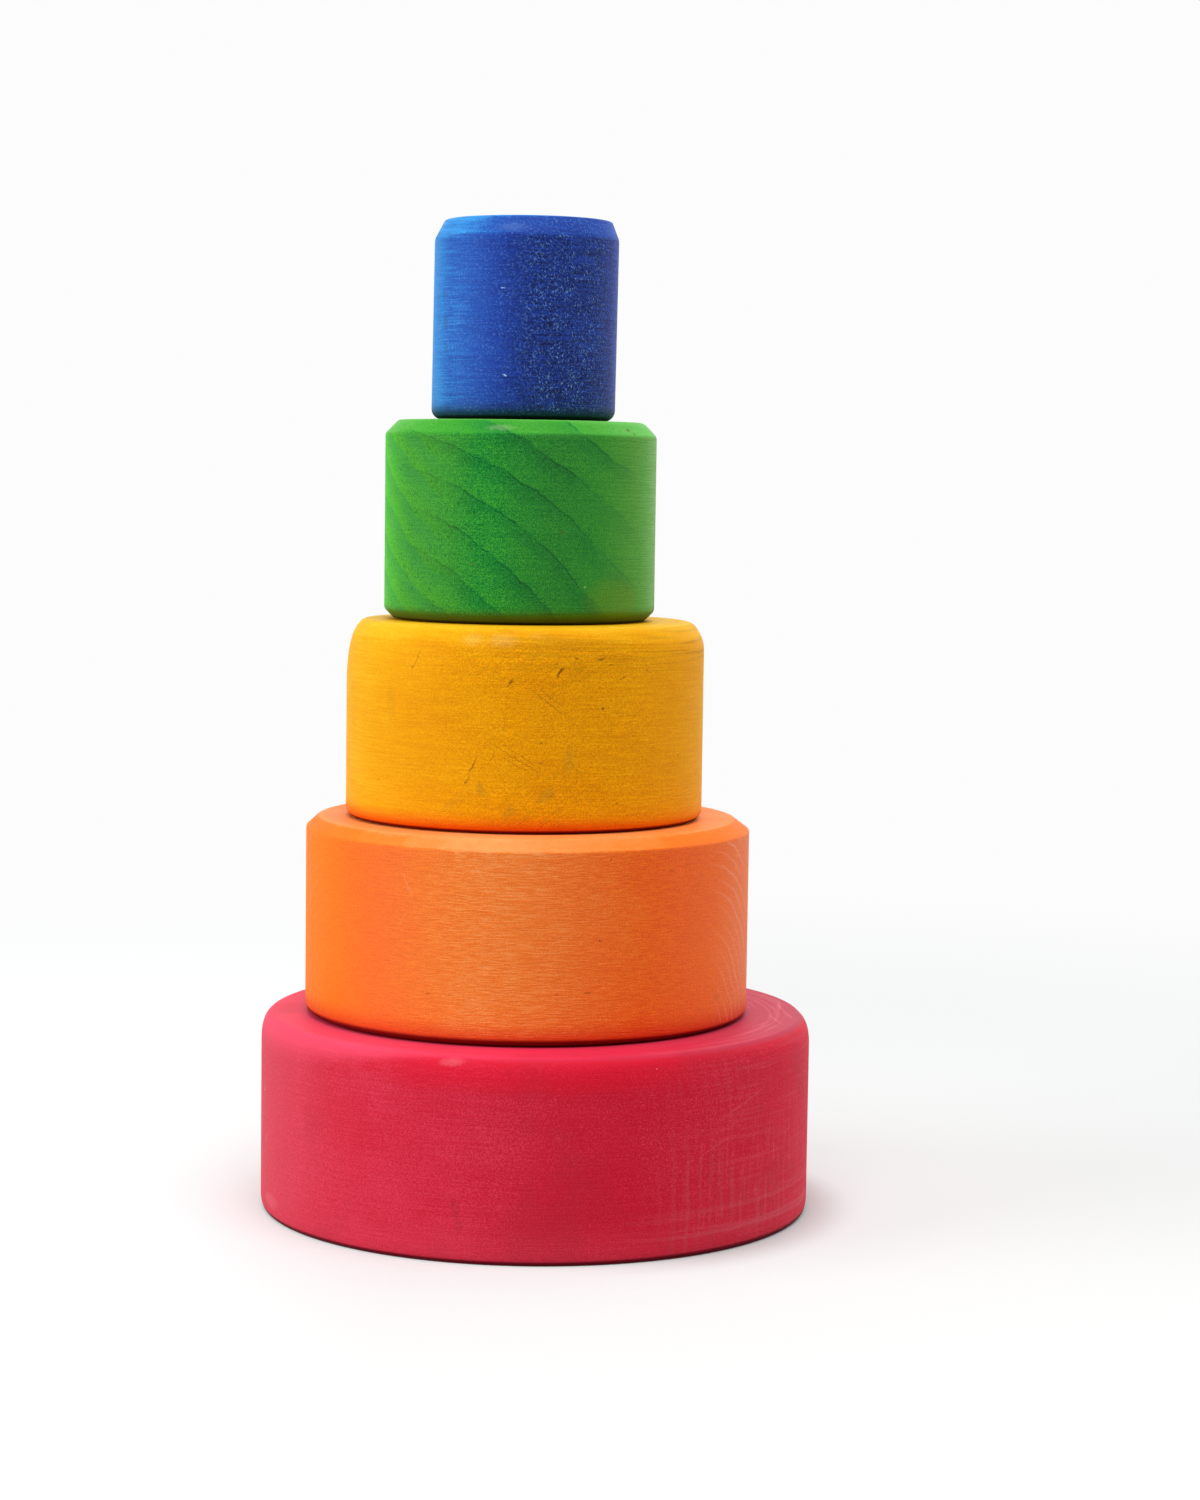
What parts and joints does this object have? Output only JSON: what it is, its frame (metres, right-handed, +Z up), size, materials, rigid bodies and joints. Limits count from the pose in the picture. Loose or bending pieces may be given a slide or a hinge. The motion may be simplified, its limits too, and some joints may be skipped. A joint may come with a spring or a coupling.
{
  "type": "wooden nesting bowl set",
  "caption": "Set of turned, stained wooden toy bowls that nest in one another, stacked upside down as a tower with the widest bowl at the bottom.",
  "frame": {"origin": "on the widest bowl's axis, on the surface that its rim stands on", "axes": "+Z up the tower from the widest bowl to the smallest, +X to the right as seen in the picture, +Y away from the viewer"},
  "size_m": [0.1, 0.1, 0.1781],
  "materials": {
    "red_wood": "satin, water-stained",
    "orange_wood": "satin, water-stained",
    "yellow_wood": "satin, water-stained",
    "green_wood": "satin, water-stained",
    "blue_wood": "satin, water-stained"
  },
  "bodies": {
    "red_bowl": {"red_bowl": "red_wood"},
    "orange_bowl": {"orange_bowl": "orange_wood"},
    "yellow_bowl": {"yellow_bowl": "yellow_wood"},
    "green_bowl": {"green_bowl": "green_wood"},
    "blue_bowl": {"blue_bowl": "blue_wood"}
  },
  "joints": [
    {"name": "orange_lift", "type": "slide", "parent": "red_bowl", "child": "orange_bowl", "axis": [0, 0, 1], "range_m": [0, 0.06]},
    {"name": "yellow_lift", "type": "slide", "parent": "orange_bowl", "child": "yellow_bowl", "axis": [0, 0, 1], "range_m": [0, 0.06]},
    {"name": "green_lift", "type": "slide", "parent": "yellow_bowl", "child": "green_bowl", "axis": [0, 0, 1], "range_m": [0, 0.06]},
    {"name": "blue_lift", "type": "slide", "parent": "green_bowl", "child": "blue_bowl", "axis": [0, 0, 1], "range_m": [0, 0.06]}
  ]
}
